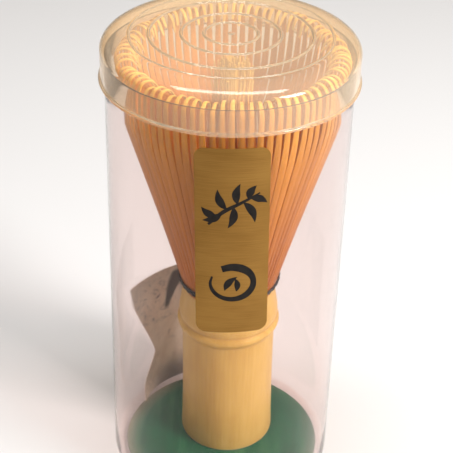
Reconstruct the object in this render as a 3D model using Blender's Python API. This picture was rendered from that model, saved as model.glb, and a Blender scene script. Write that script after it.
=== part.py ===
"""Bamboo tea whisk standing in its clear round case, modelled at its real size.

Frame: metres, +Z up. The origin is the centre of the case's underside and Z is the case's
axis. -Y is the front, where the label is.
The whisk leans a little inside its case. Its pieces are made about the whisk's own axis and
placed by one empty. The whisk and the lid both lift straight up out of the case.
"""
import math

import bmesh
import bpy

MM = 0.001

# Case: a clear tube with a floor, a press-on lid, a foil label, a card disc and a leaflet.
CASE_RADIUS = 29.5 * MM
CASE_WALL = 0.45 * MM
CASE_FLOOR = 0.6 * MM
CASE_FLOOR_ROUNDING = 0.9 * MM
CASE_RIM = 116.8 * MM
CLOSE_GAP = 0.05 * MM

LID_TOP = 121.6 * MM
LID_WALL = 0.5 * MM
LID_CLEARANCE = 0.45 * MM
LID_PANEL_RADIUS = 24.6 * MM
LID_SHOULDER_HEIGHT = 118.2 * MM
LID_HEM_HEIGHT = 110.8 * MM
LID_HEM_RADIUS = 0.45 * MM
LID_RING_RADII = (6.3 * MM, 11.6 * MM, 19.1 * MM)
LID_RING_WIDTH = 0.9 * MM
LID_RING_RISE = 0.35 * MM

LABEL_WIDTH = 17.0 * MM
LABEL_HEIGHT = 49.6 * MM
LABEL_CORNER = 2.4 * MM
LABEL_THICKNESS = 0.12 * MM
LABEL_CENTRE_HEIGHT = 82.8 * MM
LABEL_AZIMUTH = math.radians(2.9)
LABEL_TILT = math.radians(1.2)

DISC_RADIUS = 26.5 * MM
DISC_THICKNESS = 0.5 * MM
DISC_CENTRE = (0.4 * MM, -1.5 * MM)

LEAFLET_TOP = 40.4 * MM
LEAFLET_THICKNESS = 0.25 * MM
LEAFLET_WALL_RADIUS = 28.5 * MM
LEAFLET_RIGHT_AZIMUTH = math.radians(80.0)
# The left edge runs down the tube's wall, dips inwards at a crease and comes back out:
# (height as a fraction of the leaflet, azimuth in degrees from +X, radius).
LEAFLET_LEFT_EDGE = (
    (0.00, 152.5, 25.2 * MM),
    (0.07, 146.0, 27.4 * MM),
    (0.30, 134.0, 28.5 * MM),
    (0.82, 153.0, 28.5 * MM),
    (1.00, 156.5, 28.5 * MM),
)

# Whisk: a hollow bamboo grip whose upper end is split into two rings of tines.
WHISK_FOOT = (1.6 * MM, 4.1 * MM)
WHISK_CROWN = (0.7 * MM, 0.5 * MM)
WHISK_CROWN_HEIGHT = 110.0 * MM

GRIP_RADIUS = 12.3 * MM
GRIP_FOOT_RADIUS = 12.65 * MM
GRIP_BORE_RADIUS = 9.2 * MM
GRIP_HEIGHT = 45.85 * MM
NODE_HEIGHT = 38.0 * MM
NODE_RADIUS = 13.6 * MM
NODE_HALF_WIDTH = 1.4 * MM
DIAPHRAGM_THICKNESS = 2.0 * MM

FAN_COUNT = 16
TINES_PER_FAN = 5
FAN_ANGLE = 2.0 * math.pi / FAN_COUNT
TINE_PITCH = FAN_ANGLE / TINES_PER_FAN
ROOT_HEIGHT = 45.9 * MM
SPLIT_HEIGHT = 48.6 * MM
ROOT_HALF_ANGLE = math.radians(1.9)

OUTER_ROOT = (10.4 * MM, 11.9 * MM)
FLARE_START_HEIGHT = 49.3 * MM
FLARE_SLOPE = 0.2835
FLARE_END_HEIGHT = 97.0 * MM
CROWN_RADIUS = 27.6 * MM
CROWN_HEIGHT = 113.3 * MM
HOOK_RADIUS = 2.4 * MM
HOOK_TIP_LENGTH = 2.2 * MM
OUTER_ROOT_THICKNESS = 1.3 * MM
OUTER_TINE_THICKNESS = 0.6 * MM
OUTER_TINE_WIDTH = 1.0 * MM
OUTER_TIP_WIDTH = 0.65 * MM

INNER_ROOT = (9.05 * MM, 10.2 * MM)
INNER_TOP = 114.2 * MM
INNER_TOP_RADIUS = 4.8 * MM
INNER_TINE_THICKNESS = 0.4 * MM
INNER_TINE_FILL = 0.7

THREAD_RADIUS = 0.3 * MM
THREAD_PITCH = 0.66 * MM
THREAD_TURNS = 1.9
THREAD_START_HEIGHT = 50.9 * MM
THREAD_POINTS_PER_TURN = 32

ROUND_SEGMENTS = 48
GRIP_SEGMENTS = 40
SMOOTH_ANGLE = math.radians(35.0)
WELD_DISTANCE = 0.001 * MM

# Colours are linear RGB; the last number is the opacity.
CLEAR_PLASTIC = (0.90, 0.86, 0.84, 0.25)
GOLD_FOIL = (0.36, 0.23, 0.06, 1.0)
GREEN_CARD = (0.02, 0.23, 0.12, 1.0)
PRINTED_PAPER = (0.58, 0.48, 0.40, 1.0)
PALE_BAMBOO = (0.76, 0.47, 0.18, 1.0)
TINE_BAMBOO = (0.78, 0.38, 0.11, 1.0)
BLACK_THREAD = (0.012, 0.010, 0.010, 1.0)


def clear_scene():
    """Remove every object that the file opened with."""
    for item in list(bpy.data.objects):
        bpy.data.objects.remove(item, do_unlink=True)


def make_material(name, colour, roughness, metallic=0.0):
    """Return a Principled material with one flat colour."""
    material = bpy.data.materials.new(name)
    material.use_nodes = True
    shader = material.node_tree.nodes["Principled BSDF"]
    shader.inputs["Base Color"].default_value = colour[:3] + (1.0,)
    shader.inputs["Alpha"].default_value = colour[3]
    shader.inputs["Roughness"].default_value = roughness
    shader.inputs["Metallic"].default_value = metallic
    material.diffuse_color = colour
    return material


def add_object(name, data, material, parent=None):
    """Link a mesh or curve to the scene under its own name."""
    item = bpy.data.objects.new(name, data)
    if not data.materials:
        data.materials.append(material)
    bpy.context.scene.collection.objects.link(item)
    item.parent = parent
    return item


def finish_mesh(name, bm):
    """Turn a bmesh into a smooth-shaded mesh whose faces point outwards."""
    bmesh.ops.recalc_face_normals(bm, faces=bm.faces)
    mesh = bpy.data.meshes.new(name)
    bm.to_mesh(mesh)
    bm.free()
    mesh.shade_smooth()
    mesh.set_sharp_from_angle(angle=SMOOTH_ANGLE)
    return mesh


def turned_mesh(name, profile, segments):
    """Spin a profile of (radius, height) points about Z; its two ends lie on the axis."""
    bm = bmesh.new()
    points = [bm.verts.new((radius, 0.0, height)) for radius, height in profile]
    edges = [bm.edges.new(pair) for pair in zip(points, points[1:])]
    bmesh.ops.spin(
        bm,
        geom=points + edges,
        cent=(0.0, 0.0, 0.0),
        axis=(0.0, 0.0, 1.0),
        angle=2.0 * math.pi,
        steps=segments,
        use_merge=True,
    )
    bmesh.ops.remove_doubles(bm, verts=bm.verts, dist=WELD_DISTANCE)
    return finish_mesh(name, bm)


def arc_points(centre, radii, start_degrees, end_degrees, steps):
    """Return points on an elliptical arc in the (radius, height) plane."""
    points = []
    for step in range(steps + 1):
        share = step / steps
        angle = math.radians(start_degrees + (end_degrees - start_degrees) * share)
        across = centre[0] + radii[0] * math.cos(angle)
        along = centre[1] + radii[1] * math.sin(angle)
        points.append((across, along))
    return points


def interpolate(table, share):
    """Read a row from a table of (share, value, ...) rows by straight-line interpolation."""
    for low, high in zip(table, table[1:]):
        if share <= high[0]:
            part = (share - low[0]) / (high[0] - low[0])
            return [a + (b - a) * part for a, b in zip(low[1:], high[1:])]
    return list(table[-1][1:])


def on_cylinder(radius, azimuth, height):
    """Return a point from its cylindrical coordinates about Z."""
    return (radius * math.cos(azimuth), radius * math.sin(azimuth), height)


# Case


def build_case_tube():
    """Thin clear tube with a flat floor and an open top."""
    inner = CASE_RADIUS - CASE_WALL
    corner = CASE_FLOOR_ROUNDING
    profile = [(0.0, CASE_FLOOR), (inner, CASE_FLOOR), (inner, CASE_RIM), (CASE_RADIUS, CASE_RIM)]
    profile += arc_points((CASE_RADIUS - corner, corner), (corner, corner), 0.0, -90.0, 3)
    profile.append((0.0, 0.0))
    mesh = turned_mesh("case_tube", profile, ROUND_SEGMENTS)
    material = make_material("clear_tube", CLEAR_PLASTIC, 0.06)
    return add_object("case_tube", mesh, material)


def lid_ring_profile(radius):
    """Outline of one raised ring on the lid's panel, from the inside outwards."""
    half = LID_RING_WIDTH / 2.0
    top = LID_TOP + LID_RING_RISE
    return [(radius - half, LID_TOP), (radius, top), (radius + half, LID_TOP)]


def build_case_lid():
    """Press-on lid: a panel with raised rings, a rounded shoulder and a hemmed skirt."""
    skirt_inner = CASE_RADIUS + LID_CLEARANCE
    skirt_outer = skirt_inner + LID_WALL
    profile = [(0.0, LID_TOP)]
    for radius in LID_RING_RADII:
        profile += lid_ring_profile(radius)
    shoulder_centre = (LID_PANEL_RADIUS, LID_SHOULDER_HEIGHT)
    outer_radii = (skirt_outer - LID_PANEL_RADIUS, LID_TOP - LID_SHOULDER_HEIGHT)
    profile += arc_points(shoulder_centre, outer_radii, 90.0, 0.0, 4)
    hem_centre = (skirt_outer, LID_HEM_HEIGHT + LID_HEM_RADIUS)
    profile += arc_points(hem_centre, (LID_HEM_RADIUS, LID_HEM_RADIUS), 60.0, -90.0, 3)
    profile.append((skirt_inner, LID_HEM_HEIGHT))
    inner_radii = (outer_radii[0] - LID_WALL, outer_radii[1] - LID_WALL)
    profile += arc_points(shoulder_centre, inner_radii, 0.0, 90.0, 3)
    profile.append((0.0, LID_TOP - LID_WALL))
    mesh = turned_mesh("case_lid", profile, ROUND_SEGMENTS)
    material = make_material("clear_lid", CLEAR_PLASTIC, 0.06)
    return add_object("case_lid", mesh, material)


def label_edge_height(across):
    """Half height of the label at a distance across it, with its corners rounded."""
    into_corner = abs(across) - (LABEL_WIDTH / 2.0 - LABEL_CORNER)
    if into_corner <= 0.0:
        return LABEL_HEIGHT / 2.0
    drop = LABEL_CORNER - math.sqrt(max(LABEL_CORNER**2 - into_corner**2, 0.0))
    return LABEL_HEIGHT / 2.0 - drop


def label_columns():
    """Distances across the label, closer together in its rounded corners."""
    flat = LABEL_WIDTH / 2.0 - LABEL_CORNER
    corner = [flat + LABEL_CORNER * math.sin(math.radians(angle)) for angle in (30.0, 60.0, 80.0)]
    middle = [flat * step / 3.0 for step in range(-3, 4)]
    return [-across for across in reversed(corner)] + middle + corner


def build_case_label():
    """Foil label wrapped on the front of the tube, slightly askew."""
    bm = bmesh.new()
    inner = CASE_RADIUS + CLOSE_GAP
    rings = []
    for across in label_columns():
        half = label_edge_height(across)
        ring = []
        for along, depth in ((-half, 0.0), (half, 0.0), (half, 1.0), (-half, 1.0)):
            turned_across = across * math.cos(LABEL_TILT) - along * math.sin(LABEL_TILT)
            turned_along = across * math.sin(LABEL_TILT) + along * math.cos(LABEL_TILT)
            azimuth = LABEL_AZIMUTH - math.pi / 2.0 + turned_across / CASE_RADIUS
            radius = inner + LABEL_THICKNESS * depth
            point = on_cylinder(radius, azimuth, LABEL_CENTRE_HEIGHT + turned_along)
            ring.append(bm.verts.new(point))
        rings.append(ring)
    bridge_rings(bm, rings)
    mesh = finish_mesh("case_label", bm)
    material = make_material("gold_foil", GOLD_FOIL, 0.4, 0.8)
    return add_object("case_label", mesh, material)


def build_base_disc():
    """Card disc lying loose on the floor of the case, a little to the front."""
    low = CASE_FLOOR + CLOSE_GAP
    high = low + DISC_THICKNESS
    profile = [(0.0, high), (DISC_RADIUS, high), (DISC_RADIUS, low), (0.0, low)]
    mesh = turned_mesh("base_disc", profile, ROUND_SEGMENTS)
    material = make_material("green_card", GREEN_CARD, 0.6)
    disc = add_object("base_disc", mesh, material)
    disc.location = DISC_CENTRE + (0.0,)
    return disc


def disc_top():
    """Height of the card disc's upper face."""
    return CASE_FLOOR + CLOSE_GAP + DISC_THICKNESS


def leaflet_point(across, along, depth):
    """Point of the leaflet: 0 to 1 from left to right, bottom to top and outside to inside."""
    left_azimuth, left_radius = interpolate(LEAFLET_LEFT_EDGE, along)
    left_azimuth = math.radians(left_azimuth)
    azimuth = left_azimuth + (LEAFLET_RIGHT_AZIMUTH - left_azimuth) * across
    lifted = (LEAFLET_WALL_RADIUS - left_radius) * (1.0 - across) ** 3
    radius = LEAFLET_WALL_RADIUS - lifted - LEAFLET_THICKNESS * depth
    low = disc_top() + 2.0 * CLOSE_GAP
    return on_cylinder(radius, azimuth, low + (LEAFLET_TOP - low) * along)


def build_leaflet():
    """Thin paper leaflet curled against the back of the tube, behind the grip."""
    columns = 12
    rows = [row[0] for row in LEAFLET_LEFT_EDGE]
    bm = bmesh.new()
    layers = []
    for depth in (0.0, 1.0):
        layer = []
        for along in rows:
            shares = [column / columns for column in range(columns + 1)]
            layer.append([bm.verts.new(leaflet_point(share, along, depth)) for share in shares])
        layers.append(layer)
    for layer in layers:
        for low, high in zip(layer, layer[1:]):
            for column in range(columns):
                bm.faces.new((low[column], low[column + 1], high[column + 1], high[column]))
    outlines = []
    for layer in layers:
        left = [row[0] for row in layer]
        right = [row[-1] for row in layer]
        outlines.append(layer[0][:-1] + right[:-1] + layer[-1][:0:-1] + left[:0:-1])
    count = len(outlines[0])
    for index in range(count):
        after = (index + 1) % count
        outside, inside = outlines
        bm.faces.new((outside[index], outside[after], inside[after], inside[index]))
    mesh = finish_mesh("leaflet", bm)
    material = make_material("printed_paper", PRINTED_PAPER, 0.7)
    return add_object("leaflet", mesh, material)


# Whisk


def whisk_tilt():
    """Rotation about X and Y that leans the whisk's axis from its foot to its crown."""
    lean_x = (WHISK_CROWN[0] - WHISK_FOOT[0]) / WHISK_CROWN_HEIGHT
    lean_y = (WHISK_CROWN[1] - WHISK_FOOT[1]) / WHISK_CROWN_HEIGHT
    return (-math.atan(lean_y), math.atan(lean_x), 0.0)


def add_whisk_axis():
    """Empty on the whisk's own axis: the leaning grip's lowest edge just clears the disc."""
    axis = bpy.data.objects.new("whisk_axis", None)
    bpy.context.scene.collection.objects.link(axis)
    tilt = whisk_tilt()
    edge_drop = GRIP_FOOT_RADIUS * math.sin(math.hypot(tilt[0], tilt[1]))
    axis.location = (WHISK_FOOT[0], WHISK_FOOT[1], disc_top() + CLOSE_GAP + edge_drop)
    axis.rotation_euler = tilt
    return axis


def build_handle(axis):
    """Bamboo grip: open below, closed by the node's diaphragm, a short cup above it."""
    diaphragm_top = NODE_HEIGHT + DIAPHRAGM_THICKNESS / 2.0
    diaphragm_low = NODE_HEIGHT - DIAPHRAGM_THICKNESS / 2.0
    cup_radius = INNER_ROOT[0]
    edge = 0.3 * MM
    profile = [
        (0.0, diaphragm_top),
        (cup_radius - 0.8 * MM, diaphragm_top + 0.2 * MM),
        (cup_radius, diaphragm_top + 1.4 * MM),
        (cup_radius, GRIP_HEIGHT),
        (OUTER_ROOT[1], GRIP_HEIGHT),
        (12.75 * MM, GRIP_HEIGHT - 2.0 * MM),
        (13.1 * MM, GRIP_HEIGHT - 3.8 * MM),
        (12.85 * MM, NODE_HEIGHT + NODE_HALF_WIDTH + 0.5 * MM),
    ]
    ridge = (NODE_RADIUS - GRIP_RADIUS, NODE_HALF_WIDTH)
    profile += arc_points((GRIP_RADIUS, NODE_HEIGHT), ridge, 50.0, -60.0, 4)
    profile += [
        (12.35 * MM, NODE_HEIGHT - 3.2 * MM),
        (GRIP_RADIUS, 18.0 * MM),
        (GRIP_FOOT_RADIUS, edge),
        (GRIP_FOOT_RADIUS - edge, 0.0),
        (GRIP_BORE_RADIUS + edge, 0.0),
        (GRIP_BORE_RADIUS, edge),
        (GRIP_BORE_RADIUS, diaphragm_low - 1.6 * MM),
        (GRIP_BORE_RADIUS - 1.2 * MM, diaphragm_low - 0.2 * MM),
        (0.0, diaphragm_low),
    ]
    mesh = turned_mesh("handle", profile, GRIP_SEGMENTS)
    material = make_material("pale_bamboo", PALE_BAMBOO, 0.45)
    return add_object("handle", mesh, material, axis)


def flare_radius(height):
    """Outer radius of the split cane: upright to the thread, then a straight flare."""
    return OUTER_ROOT[1] + FLARE_SLOPE * max(height - FLARE_START_HEIGHT, 0.0)


def outer_tine_path():
    """Middle line of an outer tine above the root block, as (radius, height) points."""
    start = (OUTER_ROOT[1] - OUTER_ROOT_THICKNESS / 2.0, SPLIT_HEIGHT)
    waist = (start[0], FLARE_START_HEIGHT)
    flare_end = (flare_radius(FLARE_END_HEIGHT) - OUTER_TINE_THICKNESS / 2.0, FLARE_END_HEIGHT)
    bend = (CROWN_RADIUS, flare_end[1] + (CROWN_RADIUS - flare_end[0]) / FLARE_SLOPE)
    crown = (CROWN_RADIUS, CROWN_HEIGHT)
    halfway = (
        0.25 * flare_end[0] + 0.5 * bend[0] + 0.25 * crown[0],
        0.25 * flare_end[1] + 0.5 * bend[1] + 0.25 * crown[1],
    )
    hook_centre = (CROWN_RADIUS - HOOK_RADIUS, CROWN_HEIGHT)
    hook = arc_points(hook_centre, (HOOK_RADIUS, HOOK_RADIUS), 0.0, 180.0, 3)
    tip = (hook[-1][0] + 0.2 * MM, CROWN_HEIGHT - HOOK_TIP_LENGTH)
    return [start, waist, flare_end, halfway] + hook + [tip]


def inner_tine_path():
    """Middle line of an inner tine: the ring of tines closes into a bundle at the top."""
    start = (sum(INNER_ROOT) / 2.0, SPLIT_HEIGHT)
    rise = INNER_TOP - SPLIT_HEIGHT
    points = []
    for share in (0.0, 0.3, 0.6, 0.85, 1.0):
        closing = 0.5 - 0.5 * math.cos(math.pi * share)
        radius = start[0] + (INNER_TOP_RADIUS - start[0]) * closing
        points.append((radius, SPLIT_HEIGHT + rise * share))
    return points


def path_normals(path):
    """Unit normals of a path in the (radius, height) plane, on its outer side."""
    normals = []
    for index in range(len(path)):
        before = path[max(index - 1, 0)]
        after = path[min(index + 1, len(path) - 1)]
        run = after[0] - before[0]
        rise = after[1] - before[1]
        length = math.hypot(run, rise)
        normals.append((rise / length, -run / length))
    return normals


def tine_section(point, normal, thickness, half_angle, azimuth):
    """Four corners of a tine's cross-section: inner left, inner right, outer right, outer left."""
    corners = []
    for side, turn in ((-0.5, -1.0), (-0.5, 1.0), (0.5, 1.0), (0.5, -1.0)):
        radius = point[0] + normal[0] * thickness * side
        height = point[1] + normal[1] * thickness * side
        corners.append(on_cylinder(radius, azimuth + turn * half_angle, height))
    return corners


def bridge_rings(bm, rings):
    """Join rings of vertices into a closed bar with a cap at each end."""
    for low, high in zip(rings, rings[1:]):
        join_sections(bm, low, high)
    bm.faces.new(rings[0])
    bm.faces.new(rings[-1])


def join_sections(bm, low, high):
    """Join two rings of vertices with side faces."""
    count = len(low)
    for index in range(count):
        after = (index + 1) % count
        bm.faces.new((low[index], low[after], high[after], high[index]))


def root_block(bm, low_radii, high_radii):
    """Sector of cane wall below the tines; returns the quads on which the tines stand."""
    azimuths = []
    for tine in range(TINES_PER_FAN):
        centre = (tine - (TINES_PER_FAN - 1) / 2.0) * TINE_PITCH
        azimuths += [centre - ROOT_HALF_ANGLE, centre + ROOT_HALF_ANGLE]
    levels = []
    for height, radii in ((ROOT_HEIGHT, low_radii), (SPLIT_HEIGHT, high_radii)):
        walls = []
        for radius in radii:
            walls.append([bm.verts.new(on_cylinder(radius, angle, height)) for angle in azimuths])
        levels.append(walls)
    (low_in, low_out), (high_in, high_out) = levels
    stands = []
    for index in range(len(azimuths) - 1):
        after = index + 1
        bm.faces.new((low_in[index], low_in[after], low_out[after], low_out[index]))
        bm.faces.new((low_in[index], low_in[after], high_in[after], high_in[index]))
        bm.faces.new((low_out[index], low_out[after], high_out[after], high_out[index]))
        top = (high_in[index], high_in[after], high_out[after], high_out[index])
        if index % 2 == 0:
            stands.append(top)
        else:
            bm.faces.new(top)
    for end in (0, -1):
        bm.faces.new((low_in[end], low_out[end], high_out[end], high_in[end]))
    return stands


def fan_mesh(name, low_radii, high_radii, path, thicknesses, half_angles):
    """One sixteenth of the split cane: a root block that carries five tines."""
    bm = bmesh.new()
    stands = root_block(bm, low_radii, high_radii)
    normals = path_normals(path)
    for tine, stand in enumerate(stands):
        azimuth = (tine - (TINES_PER_FAN - 1) / 2.0) * TINE_PITCH
        below = stand
        for index in range(1, len(path)):
            corners = tine_section(
                path[index], normals[index], thicknesses[index], half_angles[index], azimuth
            )
            section = [bm.verts.new(corner) for corner in corners]
            join_sections(bm, below, section)
            below = section
        bm.faces.new(below)
    return finish_mesh(name, bm)


def outer_fan_mesh():
    """Fan of thick outer tines with hooked tips."""
    path = outer_tine_path()
    steps = len(path) - 1
    high_radii = (OUTER_ROOT[1] - OUTER_ROOT_THICKNESS, OUTER_ROOT[1])
    half_angles = []
    for index, point in enumerate(path):
        share = max(index - 3, 0) / (steps - 3)
        width = OUTER_TINE_WIDTH + (OUTER_TIP_WIDTH - OUTER_TINE_WIDTH) * share
        half_angles.append(min(width / (2.0 * point[0]), ROOT_HALF_ANGLE))
    thicknesses = [OUTER_ROOT_THICKNESS] * 2 + [OUTER_TINE_THICKNESS] * (steps - 1)
    return fan_mesh("outer_tines", OUTER_ROOT, high_radii, path, thicknesses, half_angles)


def inner_fan_mesh():
    """Fan of thin inner tines that lean towards the middle."""
    path = inner_tine_path()
    half_angles = [TINE_PITCH / 2.0 * INNER_TINE_FILL] * len(path)
    thicknesses = [INNER_TINE_THICKNESS] * len(path)
    return fan_mesh("inner_tines", INNER_ROOT, INNER_ROOT, path, thicknesses, half_angles)


def build_tines(axis):
    """Two rings of fans; the inner ring sits half a tine's pitch round from the outer one."""
    material = make_material("tine_bamboo", TINE_BAMBOO, 0.5)
    rings = (("outer_tines", outer_fan_mesh(), 0.0), ("inner_tines", inner_fan_mesh(), 0.5))
    for name, mesh, pitches in rings:
        for index in range(FAN_COUNT):
            fan = add_object(f"{name}_{index + 1:02d}", mesh, material, axis)
            fan.rotation_euler.z = index * FAN_ANGLE + pitches * TINE_PITCH


def build_binding_thread(axis):
    """Black thread wound round the roots of the outer tines."""
    curve = bpy.data.curves.new("binding_thread", "CURVE")
    curve.dimensions = "3D"
    curve.bevel_depth = THREAD_RADIUS
    curve.bevel_resolution = 1
    curve.render_resolution_u = 0
    curve.use_fill_caps = True
    count = round(THREAD_POINTS_PER_TURN * THREAD_TURNS) + 1
    spline = curve.splines.new("POLY")
    spline.points.add(count - 1)
    clear = THREAD_RADIUS + 2.0 * CLOSE_GAP
    for index, point in enumerate(spline.points):
        turns = index / THREAD_POINTS_PER_TURN
        height = THREAD_START_HEIGHT + THREAD_PITCH * turns
        radius = flare_radius(height) + clear
        point.co = on_cylinder(radius, 2.0 * math.pi * turns, height) + (1.0,)
    material = make_material("black_thread", BLACK_THREAD, 0.8)
    return add_object("binding_thread", curve, material, axis)


def main():
    """Build the case and everything in it."""
    clear_scene()
    build_case_tube()
    build_case_lid()
    build_case_label()
    build_base_disc()
    build_leaflet()
    axis = add_whisk_axis()
    build_handle(axis)
    build_tines(axis)
    build_binding_thread(axis)


main()
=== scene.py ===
"""Looks of the bamboo tea whisk in its clear case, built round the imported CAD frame.

Lengths are in millimetres times MM, so every value that reaches Blender is in metres.
The whisk's pieces are made about the whisk's own leaning axis, which is read from the frame.
"""

import math
import random

import bmesh
import bpy
from mathutils import Matrix, Vector


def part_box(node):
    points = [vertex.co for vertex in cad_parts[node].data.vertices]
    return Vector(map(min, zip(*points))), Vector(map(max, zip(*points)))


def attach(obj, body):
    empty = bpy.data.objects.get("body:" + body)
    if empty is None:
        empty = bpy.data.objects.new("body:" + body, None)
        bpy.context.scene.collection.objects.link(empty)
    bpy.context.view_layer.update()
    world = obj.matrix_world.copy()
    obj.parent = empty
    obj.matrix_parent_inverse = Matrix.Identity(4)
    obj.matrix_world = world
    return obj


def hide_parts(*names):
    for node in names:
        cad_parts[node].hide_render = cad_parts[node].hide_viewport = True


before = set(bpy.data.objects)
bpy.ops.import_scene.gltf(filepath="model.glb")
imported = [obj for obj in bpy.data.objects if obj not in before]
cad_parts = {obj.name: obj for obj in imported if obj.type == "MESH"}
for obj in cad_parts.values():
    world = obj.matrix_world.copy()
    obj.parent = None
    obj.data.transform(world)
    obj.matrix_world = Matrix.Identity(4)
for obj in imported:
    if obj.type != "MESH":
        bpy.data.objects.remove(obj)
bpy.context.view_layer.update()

MM = 0.001
UP = Vector((0.0, 0.0, 1.0))

# Camera: in front of the object, pitched down, with a slight roll.
CAMERA_PLACE = (0.0, -265.19 * MM, 237.12 * MM)
CAMERA_PITCH = 0.5651
CAMERA_ROLL = 0.0279
CAMERA_YAW = 0.0005
CAMERA_LENS = 98.68
CAMERA_SENSOR = 36.0

# Light
# The room's colour by height above the horizon: a pale rim, then warm and dim, white overhead.
WORLD_STOPS = (
    (0.00, (1.0, 0.93, 0.87)),
    (0.03, (0.90, 0.78, 0.70)),
    (0.07, (0.34, 0.22, 0.15)),
    (0.30, (0.64, 0.47, 0.36)),
    (0.62, (0.90, 0.83, 0.77)),
    (1.00, (1.0, 0.99, 0.98)),
)
WORLD_STRENGTH = 0.32
# Lights, as (place, size, power, colour), with lengths in metres and power in watts.
KEY_LIGHT = ((0.54, -0.34, 0.50), (0.24, 0.24), 7.0, (1.0, 0.99, 0.98))
OVERHEAD_LIGHT = ((0.0, 0.0, 0.72), (0.60, 0.16), 3.6, (1.0, 1.0, 1.0))
LIGHT_TARGET = (0.0, 0.0, 0.07)
FLOOR_RADIUS = 12.0
FLOOR_COLOUR = (0.74, 0.735, 0.73, 1.0)

# Case
ROUND_SEGMENTS = 192
PLASTIC_IOR = 1.46
TUBE_TINT = (0.93, 0.86, 0.845)
LID_TINT = (0.985, 0.835, 0.63)
TUBE_WALL = 0.45 * MM
TUBE_FLOOR = 0.6 * MM
TUBE_FLOOR_ROUNDING = 0.9 * MM
TUBE_RIM_ROUNDING = 0.18 * MM
TUBE_INNER_FILLET = 0.5 * MM

LID_WALL = 0.5 * MM
LID_RING_RISE = 0.35 * MM
LID_RING_RADII = (6.3 * MM, 11.6 * MM, 19.1 * MM)
LID_RING_WIDTH = 0.95 * MM
# The shallow ring at the panel's edge: its radius, width and rise.
LID_EDGE_RING = (23.7 * MM, 0.8 * MM, 0.22 * MM)
LID_PANEL_RADIUS = 24.6 * MM
LID_SHOULDER_DROP = 3.4 * MM
LID_HEM_RADIUS = 0.45 * MM
LID_LIP = 0.12 * MM
RIDGE_BORDER = 0.12 * MM
RIDGE_STEPS = 10
# The moulding mark in the middle of the panel.
LID_GATE_RADIUS = 0.75 * MM
LID_GATE_RISE = 0.14 * MM

LABEL_WIDTH = 17.0 * MM
LABEL_HEIGHT = 49.6 * MM
LABEL_CORNER = 2.4 * MM
LABEL_THICKNESS = 0.12 * MM
LABEL_AZIMUTH = math.radians(2.9)
LABEL_TILT = math.radians(1.2)
LABEL_GAP = 0.05 * MM
LABEL_COLUMNS = 28
LABEL_ROWS = 36
INK_THICKNESS = 0.025 * MM
INK_SINK = 0.01 * MM

# The two marks on the label, in millimetres from its centre, with widths in millimetres.
SPRAY_HEIGHT = 10.0
SPRAY_STEM = ((-5.4, -4.6), (-2.0, -1.2), (2.2, 1.2), (6.2, 3.4))
SPRAY_STEM_WIDTHS = (0.6, 0.95, 0.75, 0.35)
SPRAY_LEAF_WIDTH = 1.85
# Each leaf's foot, right and up of the spray's centre, its direction in degrees and its length.
SPRAY_LEAVES = (
    (-3.4, -2.4, 148.0, 4.2), (-2.4, -1.5, 206.0, 4.8), (-1.2, -0.6, 112.0, 5.6),
    (0.2, 0.2, 258.0, 5.8), (1.2, 0.7, 84.0, 5.4), (2.4, 1.3, 296.0, 6.2),
    (3.6, 2.0, 62.0, 3.8), (4.0, 2.2, 338.0, 4.2),
)
RING_HEIGHT = -10.6
RING_HALF_SIZE = (5.0, 4.5)
RING_START = 118.0
RING_TURN = 322.0
RING_WIDTHS = (1.7, 2.1, 1.4, 1.6, 1.25, 0.95, 0.45)
THINNEST_STROKE = 0.03

DISC_EDGE_WAVER = 0.10 * MM
DISC_ROUNDING = 0.08 * MM

LEAFLET_TOP = 40.4 * MM
LEAFLET_LOW = 1.25 * MM
LEAFLET_THICKNESS = 0.25 * MM
LEAFLET_WALL_RADIUS = 28.5 * MM
LEAFLET_RIGHT_AZIMUTH = 80.0
LEAFLET_COLUMNS = 110
LEAFLET_ROWS = 90
LEAFLET_INSET = 0.32 * MM
LEAFLET_RIPPLE = 0.16 * MM
LEAFLET_ROUNDNESS = 0.45
# Left edge, as (height as a fraction of the leaflet, azimuth in degrees from +X, radius).
LEAFLET_LEFT_EDGE = (
    (0.00, 152.5, 25.2 * MM),
    (0.07, 146.0, 27.4 * MM),
    (0.30, 134.0, 28.5 * MM),
    (0.82, 153.0, 28.5 * MM),
    (1.00, 156.5, 28.5 * MM),
)

# Whisk, along its own axis with 0 at the foot of the grip
GRIP_SEGMENTS = 160
GRIP_TOP = 48.9 * MM
GRIP_BORE = 9.2 * MM
CUP_RADIUS = 9.05 * MM
NODE_HEIGHT = 38.0 * MM
# Painted shade in the grooves above and below the node: each one's height, half width and depth of
# shade.
NODE_GROOVE_SHADE = ((39.6 * MM, 0.35 * MM, 0.55), (36.1 * MM, 0.5 * MM, 0.35))
DIAPHRAGM_HALF = 1.0 * MM
FOOT_ROUNDING = 0.3 * MM
PROFILE_STEPS = 130
# Outside of the grip below its top, as (height, radius) in millimetres.
GRIP_OUTSIDE = (
    (46.6, 12.32), (43.9, 12.75), (42.2, 13.05), (40.9, 13.1), (40.0, 12.92), (39.55, 12.88),
    (39.2, 13.05), (38.6, 13.45), (38.0, 13.6), (37.3, 13.42), (36.7, 12.95), (36.2, 12.55),
    (35.5, 12.38), (33.5, 12.33), (18.0, 12.3), (6.0, 12.48), (0.5, 12.65),
)
TINE_START = 48.95 * MM
TINE_COUNT = 80
TINES_PER_FAN = 5
FAN_COUNT = TINE_COUNT // TINES_PER_FAN
TINE_PITCH = 2.0 * math.pi / TINE_COUNT

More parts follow.
